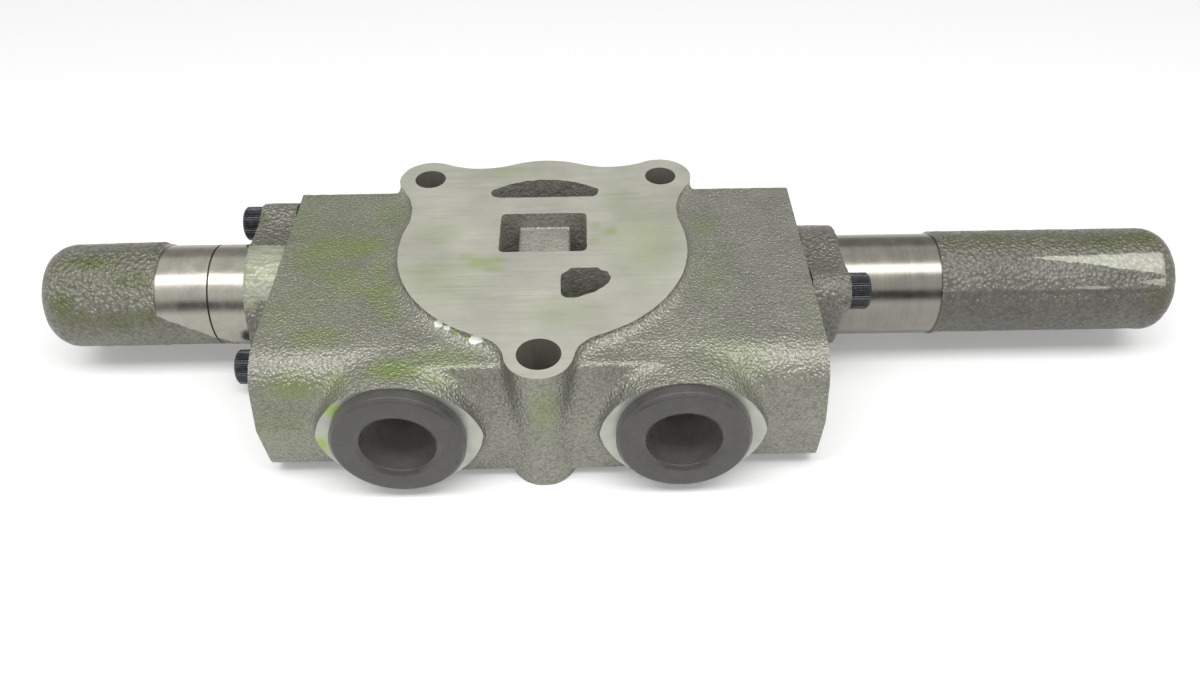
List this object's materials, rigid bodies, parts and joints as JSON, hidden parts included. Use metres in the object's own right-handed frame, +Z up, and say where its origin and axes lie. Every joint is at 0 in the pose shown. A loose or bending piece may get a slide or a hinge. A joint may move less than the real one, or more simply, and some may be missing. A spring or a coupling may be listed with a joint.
{
  "type": "directional valve section",
  "caption": "Cast section of a stacked directional valve with two plugged work ports, a spring-centred pilot spool, a load check and two end caps.",
  "frame": {"origin": "on the lower stack face, midway between the two rear tie rods", "axes": "+X along the spool towards the long cap, -Y out of the work ports, +Z up through the stack"},
  "size_m": [0.385, 0.118, 0.0476],
  "materials": {
    "body_casting": "as-cast olive grey iron, ground on both stack faces and faced at the ports",
    "cap_casting": "dark as-cast iron with a turned barrel",
    "ground_steel": "hardened and ground, or turned",
    "black_steel": "black oxide steel",
    "spring_steel": "oiled spring wire",
    "seal_rubber": "nitrile seal",
    "plug_plastic": "moulded dark plastic"
  },
  "bodies": {
    "section": {"valve_body": "body_casting", "short_cap": "cap_casting", "long_cap": "cap_casting", "short_cap_upper_screw": "black_steel", "short_cap_lower_screw": "black_steel", "long_cap_upper_screw": "black_steel", "long_cap_lower_screw": "black_steel", "short_cap_seal": "seal_rubber", "long_cap_seal": "seal_rubber", "short_side_spring": "spring_steel", "long_side_spring": "spring_steel", "load_check_plug": "ground_steel", "load_check_seal": "seal_rubber", "load_check_spring": "spring_steel"},
    "spool": {"spool": "ground_steel", "short_side_spring_seat": "ground_steel", "long_side_spring_seat": "ground_steel", "short_side_seat_screw": "black_steel", "long_side_guide_rod": "ground_steel"},
    "load_check": {"load_check_poppet": "ground_steel"},
    "left_plug": {"left_port_plug": "plug_plastic"},
    "right_plug": {"right_port_plug": "plug_plastic"}
  },
  "joints": [
    {"name": "spool_slide", "type": "slide", "parent": "section", "child": "spool", "axis": [1, 0, 0], "range_m": [-0.008, 0.008], "stiffness_N_per_m": 8000, "deforming": ["short_side_spring", "long_side_spring"]},
    {"name": "load_check_lift", "type": "slide", "parent": "section", "child": "load_check", "axis": [0, 0, -1], "range_m": [0, 0.005], "stiffness_N_per_m": 400, "springref_m": -0.01, "deforming": ["load_check_spring"]},
    {"name": "left_plug_pull", "type": "slide", "parent": "section", "child": "left_plug", "axis": [0, -1, 0], "range_m": [0, 0.022]},
    {"name": "right_plug_pull", "type": "slide", "parent": "section", "child": "right_plug", "axis": [0, -1, 0], "range_m": [0, 0.022]}
  ]
}
